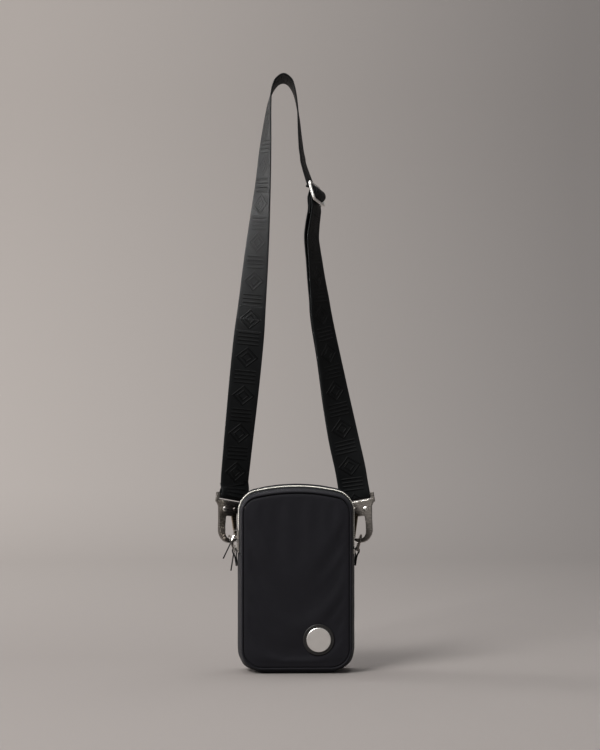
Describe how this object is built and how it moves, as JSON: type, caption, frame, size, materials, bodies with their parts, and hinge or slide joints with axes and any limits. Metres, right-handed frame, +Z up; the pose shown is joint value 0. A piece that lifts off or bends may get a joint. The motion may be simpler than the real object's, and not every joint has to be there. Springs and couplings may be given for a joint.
{
  "type": "crossbody bag",
  "caption": "Small upright crossbody bag of black nylon, zipped over the top, with a twisted adjustable webbing strap held by snap hooks on side rings.",
  "frame": {"origin": "middle of the flat base, on the surface the bag stands on", "axes": "+Z up, +X to the right as seen from the front, front of the bag towards -Y"},
  "size_m": [0.1667, 0.0568, 0.6159],
  "materials": {
    "nylon": "matte",
    "webbing": "satin",
    "lining": "matte",
    "foam": "matte",
    "gunmetal": "satin",
    "silver": "satin",
    "leather": "satin"
  },
  "bodies": {
    "bag": {"front_panel": "nylon", "front_foam": "foam", "front_lining": "lining", "back_panel": "nylon", "back_foam": "foam", "back_lining": "lining", "inner_pocket": "lining", "front_piping": "nylon", "back_piping": "nylon", "bottom_gusset": "nylon", "zip_gusset_front": "nylon", "zip_gusset_back": "nylon", "zip_tape_front": "webbing", "zip_tape_back": "webbing", "zip_teeth_front": "silver", "zip_teeth_back": "silver", "zip_stop_left": "silver", "zip_stop_right": "silver", "left_ring_tab": "webbing", "right_ring_tab": "webbing", "badge_patch": "leather", "badge_plate": "silver"},
    "left_ring": {"left_d_ring": "gunmetal"},
    "right_ring": {"right_d_ring": "gunmetal"},
    "strap": {"strap_webbing": "webbing", "strap_adjuster": "silver", "left_hook": "gunmetal", "right_hook": "gunmetal", "left_gate_pin": "gunmetal", "right_gate_pin": "gunmetal", "left_hook_rivet": "silver", "right_hook_rivet": "silver", "left_gate_spring": "silver", "right_gate_spring": "silver"},
    "left_gate": {"left_gate": "gunmetal"},
    "right_gate": {"right_gate": "gunmetal"},
    "lower_slider": {"lower_slider": "silver"},
    "upper_slider": {"upper_slider": "silver"},
    "lower_pull": {"lower_pull_link": "silver", "lower_pull_tab": "leather"},
    "upper_pull": {"upper_pull_link": "silver", "upper_pull_tab": "leather"}
  },
  "joints": [
    {"name": "strap_swing", "type": "hinge", "parent": "bag", "child": "strap", "pos_m": [0, 0.0145, 0.1334], "axis": [-1, 0, 0], "range_deg": [0, 60]},
    {"name": "left_gate_hinge", "type": "hinge", "parent": "strap", "child": "left_gate", "pos_m": [-0.06448, 0.02147, 0.16493], "axis": [-0.4736, 0.8723, -0.1219], "range_deg": [0, 4], "stiffness_Nm_per_rad": 0.02, "springref_deg": -11.46},
    {"name": "right_gate_hinge", "type": "hinge", "parent": "strap", "child": "right_gate", "pos_m": [0.06233, 0.02314, 0.16435], "axis": [-0.2192, -0.9494, 0.225], "range_deg": [0, 4], "stiffness_Nm_per_rad": 0.02, "springref_deg": -11.46},
    {"name": "left_ring_swing", "type": "hinge", "parent": "bag", "child": "left_ring", "pos_m": [-0.0637, 0.0145, 0.1232], "axis": [0, -1, 0], "range_deg": [-6, 0.5]},
    {"name": "right_ring_swing", "type": "hinge", "parent": "bag", "child": "right_ring", "pos_m": [0.0637, 0.0145, 0.1232], "axis": [0, 1, 0], "range_deg": [-6, 0.5]},
    {"name": "lower_slider_slide", "type": "slide", "parent": "bag", "child": "lower_slider", "axis": [0, 0, 1], "range_m": [0, 0.008]},
    {"name": "upper_slider_slide", "type": "slide", "parent": "lower_slider", "child": "upper_slider", "axis": [0, 0, 1], "range_m": [0, 0.006]},
    {"name": "lower_pull_swing", "type": "hinge", "parent": "lower_slider", "child": "lower_pull", "pos_m": [-0.06315, -0.001, 0.1297], "axis": [0, 1, 0], "range_deg": [0, 25]},
    {"name": "upper_pull_swing", "type": "hinge", "parent": "upper_slider", "child": "upper_pull", "pos_m": [-0.06315, -0.001, 0.1413], "axis": [0, 1, 0], "range_deg": [0, 125]}
  ]
}
